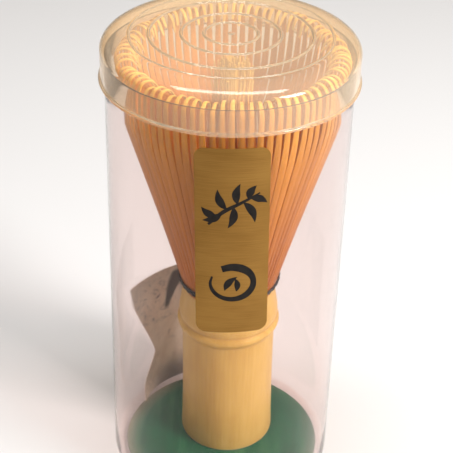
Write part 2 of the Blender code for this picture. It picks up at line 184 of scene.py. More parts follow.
WAIST_RADIUS = 11.9 * MM
FLARE_START_HEIGHT = 49.3 * MM
FLARE_SLOPE = 0.2835
FLARE_END_HEIGHT = 97.0 * MM
CROWN_RADIUS = 27.6 * MM
CROWN_HEIGHT = 113.3 * MM
HOOK_RADIUS = 2.4 * MM
HOOK_TIP = 2.2 * MM
ROOT_THICKNESS = 1.2 * MM
TINE_THICKNESS = 0.62 * MM
HOOK_THICKNESS = 0.5 * MM
TIP_THICKNESS = 0.36 * MM
TINE_FILL = 0.94
TINE_WIDTH = 1.86 * MM
CROWN_WIDTH = 1.08 * MM
TIP_WIDTH = 0.72 * MM
# Cross-section of a tine: shares of its thickness outwards and of its width sideways.
TINE_SECTION = (
    (0.5, -0.22), (0.5, 0.22), (0.30, 0.5), (-0.30, 0.5),
    (-0.5, 0.30), (-0.5, -0.30), (-0.30, -0.5), (0.30, -0.5),
)
# Places along the colour ramp at the flare's two ends, at the crown and on the hook.
FLARE_TONES = (0.02, 0.62)
CROWN_TONE = 0.86
HOOK_TONE = 0.98
# Random differences between outer tines, in millimetres, in shares and in degrees.
REACH_SPREAD = (-0.42, 0.02)
RISE_SPREAD = (-0.55, 0.35)
HOOK_SPREAD = (0.84, 1.06)
TIP_SPREAD = (0.6, 1.3)
DRIFT_SPREAD = (-0.15, 0.75)
SWAY_SPREAD = (-0.09, 0.09)
TURN_SPREAD = (132.0, 166.0)

INNER_ROOT_RADIUS = 9.65 * MM
INNER_TOP_HEIGHT = 114.2 * MM
INNER_TOP_RADII = (1.1, 2.2, 3.2, 4.2)
INNER_LAYER_DROP = 0.8 * MM
INNER_WIDTHS = (0.40 * MM, 0.52 * MM)
INNER_THICKNESSES = (0.95 * MM, 0.36 * MM)
INNER_FILL = 0.86
INNER_STEPS = 26

THREAD_TURNS = 2.6
THREAD_PITCH = 0.62 * MM
THREAD_START = 50.7 * MM
THREAD_PLY_RADIUS = 0.17 * MM
THREAD_TWIST_LENGTH = 1.15 * MM
THREAD_COIL_RADIUS = 13.2 * MM
THREAD_LENGTH = 2.0 * math.pi * THREAD_COIL_RADIUS * THREAD_TURNS
THREAD_GAP = 0.40 * MM
THREAD_DIP = 0.10 * MM
THREAD_AZIMUTH = 1.2
KNOT_AZIMUTH = 1.35
KNOT_RISE = 1.0 * MM
KNOT_GAP = 0.95 * MM
KNOT_SIZE = 0.27 * MM
KNOT_PLY_RADIUS = 0.24 * MM
TAIL_RADIUS = 0.21 * MM


# Geometry helpers


def on_cylinder(radius, azimuth, height):
    """Return a point from its cylindrical coordinates about Z."""
    return Vector((radius * math.cos(azimuth), radius * math.sin(azimuth), height))


def mix(low, high, share):
    """Blend two numbers."""
    return low + (high - low) * share


def smooth_step(low, high, value):
    """Rise smoothly from 0 at low to 1 at high."""
    share = min(max((value - low) / (high - low), 0.0), 1.0)
    return share * share * (3.0 - 2.0 * share)


def smooth_interpolate(table, share, roundness=1.0):
    """Read a table of (share, value) rows: along a smooth curve at 1, straight lines at 0."""
    last = len(table) - 1
    index = 0
    while index < last - 1 and share > table[index + 1][0]:
        index += 1
    before = table[max(index - 1, 0)]
    low, high = table[index], table[index + 1]
    after = table[min(index + 2, last)]
    span = high[0] - low[0]
    part = min(max((share - low[0]) / span, 0.0), 1.0)
    chord = high[1] - low[1]
    rise_low = mix(chord, (high[1] - before[1]) / (high[0] - before[0]) * span, roundness)
    rise_high = mix(chord, (after[1] - low[1]) / (after[0] - low[0]) * span, roundness)
    square, cube = part * part, part * part * part
    return (
        (2.0 * cube - 3.0 * square + 1.0) * low[1]
        + (cube - 2.0 * square + part) * rise_low
        + (3.0 * square - 2.0 * cube) * high[1]
        + (cube - square) * rise_high
    )


def arc_points(centre, radii, start_degrees, end_degrees, steps):
    """Return points on an elliptical arc in the (radius, height) plane."""
    points = []
    for step in range(steps + 1):
        angle = math.radians(mix(start_degrees, end_degrees, step / steps))
        across = centre[0] + radii[0] * math.cos(angle)
        along = centre[1] + radii[1] * math.sin(angle)
        points.append((across, along))
    return points


def wall_points(radius, start, end, parts):
    """Return points on an upright wall between two heights, without its two ends."""
    return [(radius, mix(start, end, step / parts)) for step in range(1, parts)]


def finish_mesh(name, bm, sharp_degrees=40.0):
    """Turn a bmesh into a smooth-shaded mesh whose faces point outwards."""
    bmesh.ops.recalc_face_normals(bm, faces=bm.faces)
    mesh = bpy.data.meshes.new(name)
    bm.to_mesh(mesh)
    bm.free()
    mesh.shade_smooth()
    mesh.set_sharp_from_angle(angle=math.radians(sharp_degrees))
    return mesh


def add_piece(name, mesh, material, body, nodes):
    """Link a mesh as a piece that rides on a body, and may stand for CAD nodes."""
    piece = bpy.data.objects.new(name, mesh)
    mesh.materials.append(material)
    bpy.context.scene.collection.objects.link(piece)
    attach(piece, body)
    if nodes:
        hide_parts(*nodes)
    return piece


def turned_mesh(name, profile, segments, sharp_degrees=40.0, waver=None):
    """Turn a profile of (radius, height) points about Z; its two ends lie on the axis."""
    bm = bmesh.new()
    rings = []
    for radius, height in profile:
        if radius < 1e-7:
            rings.append([bm.verts.new((0.0, 0.0, height))])
            continue
        ring = []
        for step in range(segments):
            azimuth = 2.0 * math.pi * step / segments
            extra = waver(azimuth, radius, height) if waver else 0.0
            ring.append(bm.verts.new(on_cylinder(radius + extra, azimuth, height)))
        rings.append(ring)
    for low, high in zip(rings, rings[1:]):
        join_rings(bm, low, high)
    return finish_mesh(name, bm, sharp_degrees)


def join_rings(bm, low, high):
    """Join two rings of vertices; a ring of one vertex is a point on the axis."""
    count = max(len(low), len(high))
    for index in range(count):
        after = (index + 1) % count
        if len(low) == 1:
            bm.faces.new((low[0], high[index], high[after]))
        elif len(high) == 1:
            bm.faces.new((low[index], high[0], low[after]))
        else:
            bm.faces.new((low[index], low[after], high[after], high[index]))


def close_bar(bm, rings):
    """Join rings of vertices into a closed bar with a cap at each end."""
    for low, high in zip(rings, rings[1:]):
        join_rings(bm, low, high)
    bm.faces.new(rings[0])
    bm.faces.new(rings[-1])


def slab(bm, columns, rows, point):
    """Closed curved sheet; point(u, v, depth) gives a place, u and v and depth from 0 to 1."""
    layers = []
    for depth in (0.0, 1.0):
        grid = []
        for row in range(rows + 1):
            line = []
            for column in range(columns + 1):
                line.append(bm.verts.new(point(column / columns, row / rows, depth)))
            grid.append(line)
        layers.append(grid)
        for low, high in zip(grid, grid[1:]):
            for column in range(columns):
                corner = (low[column], low[column + 1], high[column + 1], high[column])
                bm.faces.new(corner)
    outlines = []
    for grid in layers:
        right = [line[-1] for line in grid]
        left = [line[0] for line in grid]
        outlines.append(grid[0][:-1] + right[:-1] + grid[-1][:0:-1] + left[:0:-1])
    join_rings(bm, outlines[0], outlines[1])


# Materials


def new_material(name):
    """Return a material, its node tree and its Principled shader."""
    material = bpy.data.materials.new(name)
    material.use_nodes = True
    tree = material.node_tree
    return material, tree, tree.nodes["Principled BSDF"]


def add_node(tree, kind, **values):
    """Add a node and set its properties."""
    node = tree.nodes.new(kind)
    for key, value in values.items():
        setattr(node, key, value)
    return node


def set_inputs(node, values):
    """Set a node's inputs by name."""
    for name, value in values.items():
        node.inputs[name].default_value = value


def stretched_noise(tree, scale, stretch, detail=3.0, roughness=0.55, distortion=0.0):
    """Noise in the object's own space, stretched by a factor for each axis."""
    place = add_node(tree, "ShaderNodeTexCoord")
    mapping = add_node(tree, "ShaderNodeMapping")
    mapping.inputs["Scale"].default_value = stretch
    noise = add_node(tree, "ShaderNodeTexNoise")
    set_inputs(noise, {"Scale": scale, "Detail": detail})
    set_inputs(noise, {"Roughness": roughness, "Distortion": distortion})
    tree.links.new(place.outputs["Object"], mapping.inputs["Vector"])
    tree.links.new(mapping.outputs["Vector"], noise.inputs["Vector"])
    return noise.outputs["Fac"]


def ramp(tree, value, stops):
    """Colour ramp with (place, colour) stops."""
    node = add_node(tree, "ShaderNodeValToRGB")
    elements = node.color_ramp.elements
    while len(elements) < len(stops):
        elements.new(0.5)
    for element, (place, colour) in zip(elements, stops):
        element.position = place
        element.color = tuple(colour) + (1.0,)
    tree.links.new(value, node.inputs["Fac"])
    return node.outputs["Color"]


def span(tree, value, from_low, from_high, to_low, to_high):
    """Map a value from one range to another and hold it there."""
    node = add_node(tree, "ShaderNodeMapRange")
    set_inputs(node, {"From Min": from_low, "From Max": from_high})
    set_inputs(node, {"To Min": to_low, "To Max": to_high})
    tree.links.new(value, node.inputs["Value"])
    return node.outputs["Result"]


def multiply(tree, first, second):
    """Product of two values."""
    node = add_node(tree, "ShaderNodeMath", operation="MULTIPLY")
    tree.links.new(first, node.inputs[0])
    tree.links.new(second, node.inputs[1])
    return node.outputs["Value"]


def mix_colours(tree, share, first, second, blend_type="MIX"):
    """Mix two colours, each a socket or a tuple."""
    node = add_node(tree, "ShaderNodeMix", data_type="RGBA", blend_type=blend_type)
    for name, value in ((0, share), (6, first), (7, second)):
        if isinstance(value, (float, tuple)):
            node.inputs[name].default_value = value if name == 0 else value + (1.0,)
        else:
            tree.links.new(value, node.inputs[name])
    return node.outputs[2]


def bump(tree, shader, height, distance, strength=1.0):
    """Feed a height into the shader's normal."""
    node = add_node(tree, "ShaderNodeBump")
    set_inputs(node, {"Strength": strength, "Distance": distance})
    tree.links.new(height, node.inputs["Height"])
    tree.links.new(node.outputs["Normal"], shader.inputs["Normal"])


def dress(tree, shader, colour, pattern, smoothest, roughest):
    """Feed the shader a colour, and a roughness that follows a pattern."""
    tree.links.new(colour, shader.inputs["Base Color"])
    roughness = span(tree, pattern, 0.3, 0.7, smoothest, roughest)
    tree.links.new(roughness, shader.inputs["Roughness"])


def paint(mesh, name, value):
    """Store a value at each vertex under a name that a material reads."""
    layer = mesh.attributes.new(name, "FLOAT", "POINT")
    for vertex in mesh.vertices:
        layer.data[vertex.index].value = value(vertex.co)


def attribute(tree, name):
    """Value of a mesh attribute."""
    node = add_node(tree, "ShaderNodeAttribute", attribute_name=name)
    return node.outputs["Fac"]


def clear_plastic(name, tint, haze, specular, waviness):
    """Clear moulded plastic that lets lamps and bounced light through unbent."""
    material, tree, shader = new_material(name)
    set_inputs(shader, {"Base Color": tint + (1.0,), "Transmission Weight": 1.0 - haze})
    set_inputs(shader, {"IOR": PLASTIC_IOR, "Specular Tint": (specular, specular, specular, 1.0)})
    marks = stretched_noise(tree, 700.0, (1.0, 1.0, 0.35), 4.0)
    tree.links.new(span(tree, marks, 0.35, 0.75, 0.02, 0.07), shader.inputs["Roughness"])
    bump(tree, shader, stretched_noise(tree, 55.0, (1.0, 1.0, 0.6), 1.0), waviness)
    straight = add_node(tree, "ShaderNodeBsdfTransparent")
    straight.inputs["Color"].default_value = tuple(math.sqrt(part) for part in tint) + (1.0,)
    path = add_node(tree, "ShaderNodeLightPath")
    surface = shader.outputs["BSDF"]
    for ray in ("Is Diffuse Ray", "Is Shadow Ray"):
        choice = add_node(tree, "ShaderNodeMixShader")
        tree.links.new(path.outputs[ray], choice.inputs["Fac"])
        tree.links.new(surface, choice.inputs[1])
        tree.links.new(straight.outputs["BSDF"], choice.inputs[2])
        surface = choice.outputs["Shader"]
    tree.links.new(surface, tree.nodes["Material Output"].inputs["Surface"])
    return material


def gold_foil():
    """Satin gold foil with a fine brushed grain across the label."""
    material, tree, shader = new_material("brushed_gold_foil")
    grain = stretched_noise(tree, 900.0, (0.12, 0.12, 9.0), 4.0, 0.7)
    cloud = stretched_noise(tree, 60.0, (1.0, 1.0, 1.6), 2.0)
    tone = mix_colours(tree, 0.35, grain, cloud)
    colour = ramp(tree, tone, ((0.30, (0.19, 0.088, 0.015)), (0.72, (0.40, 0.218, 0.054))))
    dress(tree, shader, colour, grain, 0.42, 0.58)
    shader.inputs["Metallic"].default_value = 0.9
    bump(tree, shader, grain, 0.02 * MM, 0.5)
    return material


def black_ink():
    """Dry black ink, slightly uneven."""
    material, tree, shader = new_material("black_ink")
    patches = stretched_noise(tree, 900.0, (1.0, 1.0, 1.0), 4.0)
    colour = ramp(tree, patches, ((0.3, (0.006, 0.005, 0.005)), (0.75, (0.022, 0.018, 0.015))))
    dress(tree, shader, colour, patches, 0.42, 0.68)
    shader.inputs["Specular IOR Level"].default_value = 0.12
    return material


def green_card():
    """Green card with paler streaks along it and a scuffed brownish edge."""
    material, tree, shader = new_material("streaked_green_card")
    streaks = stretched_noise(tree, 260.0, (1.0, 0.10, 1.0), 4.0, 0.6)
    patches = stretched_noise(tree, 45.0, (1.0, 0.7, 1.0), 3.0)
    tone = mix_colours(tree, 0.45, streaks, patches)
    stops = ((0.36, (0.003, 0.058, 0.022)), (0.52, (0.006, 0.100, 0.042)), (0.66, (0.045, 0.17, 0.072)))
    colour = ramp(tree, tone, stops)
    rim = attribute(tree, "rim")
    scuff = multiply(tree, rim, span(tree, patches, 0.35, 0.65, 0.1, 1.0))
    colour = mix_colours(tree, scuff, colour, (0.30, 0.24, 0.15))
    dress(tree, shader, colour, streaks, 0.55, 0.72)
    shader.inputs["Specular IOR Level"].default_value = 0.2
    fibres = stretched_noise(tree, 2600.0, (1.0, 0.5, 1.0), 4.0)
    bump(tree, shader, fibres, 0.03 * MM, 0.5)
    return material


def printed_paper():
    """Coated paper printed with a grey and brown ink wash; its shade attribute darkens it with a
    printed brush stroke and with painted shadow and shade.
    """
    material, tree, shader = new_material("ink_wash_paper_painted_shade")
    wash = stretched_noise(tree, 62.0, (1.0, 1.0, 0.7), 5.0, 0.62, 1.2)
    paper = ramp(tree, wash, ((0.30, (0.72, 0.56, 0.44)), (0.62, (0.95, 0.83, 0.70))))
    blots = stretched_noise(tree, 210.0, (1.0, 1.0, 1.0), 5.0, 0.7, 2.0)
    blot = span(tree, blots, 0.52, 0.66, 0.0, 1.0)
    mottle = multiply(tree, blot, attribute(tree, "wash"))
    colour = mix_colours(tree, mottle, paper, (0.16, 0.12, 0.13))
    # Painted shadow and shade: the shade attribute darkens the paper where the grip's shadow falls on
    # its right side and at its foot, as well as along the printed brush stroke.
    shade = attribute(tree, "shade")
    colour = mix_colours(tree, shade, colour, (0.085, 0.062, 0.055))
    dress(tree, shader, colour, wash, 0.45, 0.62)
    fibres = stretched_noise(tree, 2400.0, (1.0, 1.0, 1.0), 4.0)
    bump(tree, shader, fibres, 0.03 * MM, 0.4)
    return material


def pale_bamboo():
    """Polished cane: long fibres, faint mottling and a soft waxy shine."""
    material, tree, shader = new_material("polished_cane")
    fibres = stretched_noise(tree, 1500.0, (1.0, 1.0, 0.028), 4.0, 0.65)
    bands = stretched_noise(tree, 210.0, (1.0, 1.0, 0.16), 3.0, 0.5)
    clouds = stretched_noise(tree, 70.0, (1.0, 1.0, 0.55), 3.0, 0.5, 0.6)
    tone = mix_colours(tree, 0.5, mix_colours(tree, 0.45, fibres, bands), clouds)
    stops = ((0.34, (0.58, 0.330, 0.066)), (0.50, (0.70, 0.440, 0.105)), (0.66, (0.79, 0.540, 0.160)))
    colour = ramp(tree, tone, stops)
    # The ring attribute is painted shade in the grooves above and below the node.
    colour = mix_colours(tree, attribute(tree, "ring"), colour, (0.50, 0.27, 0.085))
    colour = mix_colours(tree, attribute(tree, "cut"), colour, (0.72, 0.52, 0.27))
    dress(tree, shader, colour, fibres, 0.34, 0.48)
    set_inputs(shader, {"Specular IOR Level": 0.35, "Coat Weight": 0.2, "Coat Roughness": 0.28})
    bump(tree, shader, fibres, 0.05 * MM, 0.45)
    return material


def tine_bamboo():
    """Split bamboo: orange-gold at the root, straw at the crown, with fibres along each tine."""
    material, tree, shader = new_material("split_bamboo")
    along = attribute(tree, "along")
    stops = (
        (0.00, (0.52, 0.150, 0.012)),
        (0.30, (0.64, 0.215, 0.016)),
        (0.62, (0.80, 0.330, 0.028)),
        (0.82, (0.92, 0.480, 0.070)),
        (0.92, (0.98, 0.690, 0.170)),
        (1.00, (1.00, 0.800, 0.280)),
    )
    colour = ramp(tree, along, stops)
    tone = attribute(tree, "tone")
    darker = mix_colours(tree, 1.0, colour, (0.66, 0.56, 0.46), "MULTIPLY")
    colour = mix_colours(tree, tone, darker, colour)
    fibres = stretched_noise(tree, 2600.0, (1.0, 1.0, 0.035), 3.0, 0.6)
    streak = span(tree, fibres, 0.36, 0.64, 0.0, 0.30)
    colour = mix_colours(tree, streak, colour, (0.40, 0.155, 0.035))
    dress(tree, shader, colour, fibres, 0.36, 0.55)
    shader.inputs["Specular IOR Level"].default_value = 0.3
    bump(tree, shader, fibres, 0.03 * MM, 0.4)
    return material


def black_thread():
    """Waxed black cotton thread with its fibres along the twist."""
    material, tree, shader = new_material("waxed_black_thread")
    fuzz = stretched_noise(tree, 3800.0, (1.0, 1.0, 2.4), 3.0)
    colour = ramp(tree, fuzz, ((0.3, (0.007, 0.006, 0.006)), (0.75, (0.040, 0.034, 0.032))))
    dress(tree, shader, colour, fuzz, 0.5, 0.78)
    shader.inputs["Sheen Weight"].default_value = 0.15
    bump(tree, shader, fuzz, 0.04 * MM, 0.6)
    return material


# Case


def node_radius(node):
    """Half the width of a CAD node's box."""
    low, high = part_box(node)
    return (high.x - low.x) / 2.0


def build_tube(material):
    """Clear tube with a flat floor and a rounded open rim."""
    low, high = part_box("case_tube")
    outer = TUBE_RADIUS
    inner = outer - TUBE_WALL
    lip = TUBE_RIM_ROUNDING
    fillet = TUBE_INNER_FILLET
    corner = TUBE_FLOOR_ROUNDING
    profile = [(0.0, TUBE_FLOOR), (inner * 0.5, TUBE_FLOOR)]
    profile += arc_points((inner - fillet, TUBE_FLOOR + fillet), (fillet, fillet), -90.0, 0.0, 6)
    profile += wall_points(inner, TUBE_FLOOR + fillet, high.z - lip, 12)
    profile += arc_points((inner + lip, high.z - lip), (lip, lip), 180.0, 90.0, 4)
    profile += arc_points((outer - lip, high.z - lip), (lip, lip), 90.0, 0.0, 4)
    profile += wall_points(outer, high.z - lip, corner, 12)
    profile += arc_points((outer - corner, corner), (corner, corner), 0.0, -90.0, 8)
    profile += [(inner * 0.5, low.z), (0.0, low.z)]
    mesh = turned_mesh("tube_wall", profile, ROUND_SEGMENTS)
    add_piece("tube_wall", mesh, material, "case", ["case_tube"])


def ridge_points(radius, width, rise, base):
    """Rounded ridge on the lid's panel, from the inside outwards, between two flat borders."""
    border = RIDGE_BORDER + width / 2.0
    points = [(radius - border, base)]
    for step in range(RIDGE_STEPS + 1):
        share = step / RIDGE_STEPS
        height = base + rise * 0.5 * (1.0 - math.cos(2.0 * math.pi * share))
        points.append((radius + width * (share - 0.5), height))
    points.append((radius + border, base))
    return points


def build_lid(material):
    """Press-on lid: ridged panel, rounded shoulder, skirt and beaded hem."""
    low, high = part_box("case_lid")
    top = high.z - LID_RING_RISE
    hem = LID_HEM_RADIUS
    skirt_outer = node_radius("case_lid") - hem
    skirt_inner = skirt_outer - LID_WALL
    shoulder = top - LID_SHOULDER_DROP
    gate_foot = LID_GATE_RADIUS * 1.15
    profile = [(0.0, top + LID_GATE_RISE), (LID_GATE_RADIUS * 0.7, top + LID_GATE_RISE)]
    profile += [(LID_GATE_RADIUS, top + LID_GATE_RISE * 0.4), (gate_foot, top)]
    profile.append((gate_foot + RIDGE_BORDER, top))
    for radius in LID_RING_RADII:
        profile += ridge_points(radius, LID_RING_WIDTH, LID_RING_RISE, top)
    edge_radius, edge_width, edge_rise = LID_EDGE_RING
    profile += ridge_points(edge_radius, edge_width, edge_rise, top)
    profile.append((LID_PANEL_RADIUS - RIDGE_BORDER, top))
    centre = (LID_PANEL_RADIUS, shoulder)
    outer_radii = (skirt_outer - LID_PANEL_RADIUS, LID_SHOULDER_DROP)
    profile += arc_points(centre, outer_radii, 90.0, 0.0, 20)
    bead = (skirt_outer, low.z + hem)
    bead_top = bead[1] + hem * 1.4
    profile += wall_points(skirt_outer, shoulder, bead_top, 4) + [(skirt_outer, bead_top)]
    profile += arc_points(bead, (hem, hem), 60.0, -90.0, 10)
    profile.append((skirt_inner + LID_LIP, low.z))
    profile.append((skirt_inner, low.z + LID_LIP))
    profile += wall_points(skirt_inner, low.z + LID_LIP, shoulder, 5)
    inner_radii = (outer_radii[0] - LID_WALL, outer_radii[1] - LID_WALL)
    profile += arc_points(centre, inner_radii, 0.0, 90.0, 20)
    under = top - LID_WALL
    profile += [(radius, under) for radius in (19.0 * MM, 12.0 * MM, 5.0 * MM, 0.0)]
    mesh = turned_mesh("lid_shell", profile, ROUND_SEGMENTS)
    add_piece("lid_shell", mesh, material, "lid", ["case_lid"])


TUBE_RADIUS = node_radius("case_tube")
LABEL_MIDDLE = sum(corner.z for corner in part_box("case_label")) / 2.0


def label_place(across, along, radius):
    """Point on the label from its distances right and up of the label's centre."""
    turned_across = across * math.cos(LABEL_TILT) - along * math.sin(LABEL_TILT)
    turned_along = across * math.sin(LABEL_TILT) + along * math.cos(LABEL_TILT)
    azimuth = LABEL_AZIMUTH - math.pi / 2.0 + turned_across / TUBE_RADIUS
    return on_cylinder(radius, azimuth, LABEL_MIDDLE + turned_along)


def label_half_height(across):
    """Half the label's height at a distance across it, with its corners rounded."""
    into_corner = abs(across) - (LABEL_WIDTH / 2.0 - LABEL_CORNER)
    if into_corner <= 0.0:
        return LABEL_HEIGHT / 2.0
    reach = math.sqrt(max(LABEL_CORNER**2 - into_corner**2, 0.0))
    return LABEL_HEIGHT / 2.0 - LABEL_CORNER + reach


def build_label(material):
    """Foil label wrapped on the front of the tube, slightly askew."""
    base = TUBE_RADIUS + LABEL_GAP
    crowding = math.pi * 0.4925

    def place(u, v, depth):
        # The columns crowd towards both sides, where the corners are rounded.
        side = math.sin((2.0 * u - 1.0) * crowding) / math.sin(crowding)
        across = side * LABEL_WIDTH / 2.0
        along = (2.0 * v - 1.0) * label_half_height(across)
        return label_place(across, along, base + LABEL_THICKNESS * depth)

    bm = bmesh.new()
    slab(bm, LABEL_COLUMNS, LABEL_ROWS, place)
    mesh = finish_mesh("foil_label", bm)
    add_piece("foil_label", mesh, material, "case", ["case_label"])


def spread(values):
    """Table of (share, value) rows at even shares from 0 to 1."""
    return [(index / (len(values) - 1), value) for index, value in enumerate(values)]


def stroke(bm, points, widths, place, steps=26):
    """Brush stroke on a surface: a closed ribbon along a curve, with its width changing."""
    across = spread([point[0] for point in points])
    along = spread([point[1] for point in points])
    wide = spread(widths)
    rings = []
    for step in range(steps + 1):
        share = step / steps
        here = Vector((smooth_interpolate(across, share), smooth_interpolate(along, share)))
        before = max(share - 0.01, 0.0)
        after = min(share + 0.01, 1.0)
        right = smooth_interpolate(across, after) - smooth_interpolate(across, before)
        up = smooth_interpolate(along, after) - smooth_interpolate(along, before)
        run = Vector((right, up)).normalized()
        width = max(smooth_interpolate(wide, share), THINNEST_STROKE)
        side = Vector((-run.y, run.x)) * width / 2.0
        ring = []
        for edge, depth in ((-1.0, 0.0), (-1.0, 1.0), (0.0, 1.15), (1.0, 1.0), (1.0, 0.0)):
            spot = here + side * edge
            ring.append(bm.verts.new(place(spot.x * MM, spot.y * MM, depth)))
        rings.append(ring)
    close_bar(bm, rings)


def leaf(bm, foot, angle_degrees, length, width, place, bend=0.12):
    """Bamboo leaf drawn with one stroke, from its foot to its tip."""
    angle = math.radians(angle_degrees)
    along = Vector((math.cos(angle), math.sin(angle)))
    side = Vector((-along.y, along.x))
    start = Vector(foot)
    points = []
    for share in (0.0, 0.25, 0.5, 0.75, 1.0):
        bow = bend * length * math.sin(math.pi * share)
        points.append(tuple(start + along * length * share + side * bow))
    stroke(bm, points, (0.12, 0.8 * width, width, 0.6 * width, THINNEST_STROKE), place)


def build_label_ink(material):
    """Two brushed marks on the label: a spray of bamboo leaves above a ring round two leaves."""
    base = TUBE_RADIUS + LABEL_GAP + LABEL_THICKNESS

    def place(across, along, depth):
        return label_place(across, along, base - INK_SINK + (INK_THICKNESS + INK_SINK) * depth)

    bm = bmesh.new()
    stem = [(right, SPRAY_HEIGHT + up) for right, up in SPRAY_STEM]
    stroke(bm, stem, SPRAY_STEM_WIDTHS, place)
    for right, up, angle, length in SPRAY_LEAVES:
        leaf(bm, (right, SPRAY_HEIGHT + up), angle, length, SPRAY_LEAF_WIDTH, place)
    ring = []
    for step in range(13):
        angle = math.radians(RING_START - RING_TURN * step / 12.0)
        across = RING_HALF_SIZE[0] * math.cos(angle)
        ring.append((across, RING_HEIGHT + RING_HALF_SIZE[1] * math.sin(angle)))
    stroke(bm, ring, RING_WIDTHS, place, 90)
    leaf(bm, (-1.7, RING_HEIGHT - 2.0), 52.0, 4.8, 1.7, place)
    leaf(bm, (1.0, RING_HEIGHT - 2.3), 96.0, 3.8, 1.4, place, -0.12)
    mesh = finish_mesh("label_ink", bm)
    add_piece("label_ink", mesh, material, "case", [])


def build_disc(material):
    """Green card disc with a slightly uneven cut edge."""
    low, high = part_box("base_disc")
    radius = node_radius("base_disc")
    centre = (low + high) / 2.0
    corner = DISC_ROUNDING

    def waver(azimuth, ring, height):
        share = ring / radius
        wave = math.sin(3.0 * azimuth + 0.6) + 0.6 * math.sin(7.0 * azimuth + 2.0)
        return -DISC_EDGE_WAVER * (1.0 + 0.6 * wave) * share**8

    profile = [(0.0, high.z)]
    profile += [(radius * share, high.z) for share in (0.25, 0.5, 0.7, 0.84, 0.93)]
    profile += arc_points((radius - corner, high.z - corner), (corner, corner), 90.0, 0.0, 3)
    profile += arc_points((radius - corner, low.z + corner), (corner, corner), 0.0, -90.0, 3)
    profile += [(radius * 0.5, low.z), (0.0, low.z)]
    mesh = turned_mesh("green_disc", profile, 144, 40.0, waver)

    def scuffed(place):
        out = math.hypot(place.x, place.y) / radius
        left = smooth_step(0.1, 1.0, -place.x / radius)
        return smooth_step(0.86, 1.0, out) * (0.25 + 0.75 * left)

    paint(mesh, "rim", scuffed)
    mesh.transform(Matrix.Translation((centre.x, centre.y, 0.0)))
    add_piece("green_disc", mesh, material, "case", ["base_disc"])


def leaflet_place(across, along, depth):
    """Point of the leaflet: 0 to 1 from left to right, bottom to top, outside to inside."""
    azimuths = [(height, azimuth) for height, azimuth, radius in LEAFLET_LEFT_EDGE]
    radii = [(height, radius) for height, azimuth, radius in LEAFLET_LEFT_EDGE]
    left_azimuth = smooth_interpolate(azimuths, along, LEAFLET_ROUNDNESS)
    left_radius = smooth_interpolate(radii, along, LEAFLET_ROUNDNESS)
    azimuth = math.radians(mix(left_azimuth, LEAFLET_RIGHT_AZIMUTH, across))
    lifted = (LEAFLET_WALL_RADIUS - min(left_radius, LEAFLET_WALL_RADIUS)) * (1.0 - across) ** 3
    waves = math.sin(9.0 * across + 3.0 * along) + math.sin(7.0 * along - 5.0 * across)
    radius = LEAFLET_WALL_RADIUS - LEAFLET_INSET + LEAFLET_RIPPLE * waves
    radius -= lifted + LEAFLET_THICKNESS * depth
    return on_cylinder(radius, azimuth, mix(LEAFLET_LOW, LEAFLET_TOP, along))


def leaflet_ink_and_painted_shade(across, along):
    """Darkness painted on the leaflet: a printed slanting brush stroke, painted shadow of the grip on
    its right side, painted shade at its foot, and darker towards the top.
    """
    down = (0.96 - along) / 0.31
    middle = mix(0.52, 0.30, down)
    half_width = mix(0.075, 0.020, smooth_step(0.0, 1.0, down))
    ends = smooth_step(-0.10, 0.05, down) * smooth_step(1.05, 0.90, down)
    brush = ends * smooth_step(1.5, 0.7, abs(across - middle) / half_width)
    # Painted shadow of the grip on the leaflet's right side.
    right = smooth_step(0.36, 0.58, across) * 0.78
    # Painted shade at the leaflet's foot.
    foot = smooth_step(0.26, 0.03, along) * smooth_step(0.05, 0.36, across) * 0.8
    # Darker towards the top.
    top = smooth_step(0.70, 1.0, along) * 0.26
    return max(brush, right, foot, top)


def build_leaflet(material):
    """Paper leaflet curled against the back of the tube, printed with an ink wash and carrying painted
    shadow and shade.
    """
    bm = bmesh.new()
    slab(bm, LEAFLET_COLUMNS, LEAFLET_ROWS, leaflet_place)
    mesh = finish_mesh("paper_leaflet", bm)
    wash = mesh.attributes.new("wash", "FLOAT", "POINT")
    shade = mesh.attributes.new("shade", "FLOAT", "POINT")
    per_row = LEAFLET_COLUMNS + 1
    per_layer = per_row * (LEAFLET_ROWS + 1)
    for index in range(len(mesh.vertices)):
        across = index % per_layer % per_row / LEAFLET_COLUMNS
        along = index % per_layer // per_row / LEAFLET_ROWS
        near = math.exp(-((across - 0.24) / 0.20) ** 2 - ((along - 0.70) / 0.24) ** 2)
        wash.data[index].value = 0.2 + 0.8 * near
        # The shade attribute holds the printed brush stroke together with painted shadow and shade.
        shade.data[index].value = leaflet_ink_and_painted_shade(across, along)
    piece = add_piece("paper_leaflet", mesh, material, "case", ["leaflet"])


# Whisk


def whisk_matrix():
    """Place and lean of the whisk's axis, read from the turned grip and the ring of tines."""

    def middle(names):
        points = [vertex.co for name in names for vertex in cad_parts[name].data.vertices]
        return sum(points, Vector()) / len(points)

    grip = middle(["handle"])
    crown = middle([f"outer_tines_{index + 1:02d}" for index in range(FAN_COUNT)])
    axis = (crown - grip).normalized()
    foot = min((vertex.co - grip).dot(axis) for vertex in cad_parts["handle"].data.vertices)
    turn = UP.rotation_difference(axis).to_matrix().to_4x4()
    return Matrix.Translation(grip + axis * foot) @ turn


def flare_radius(height):
    """Outer radius of the split cane: upright to the thread, then a straight flare."""
    return WAIST_RADIUS + FLARE_SLOPE * max(height - FLARE_START_HEIGHT, 0.0)


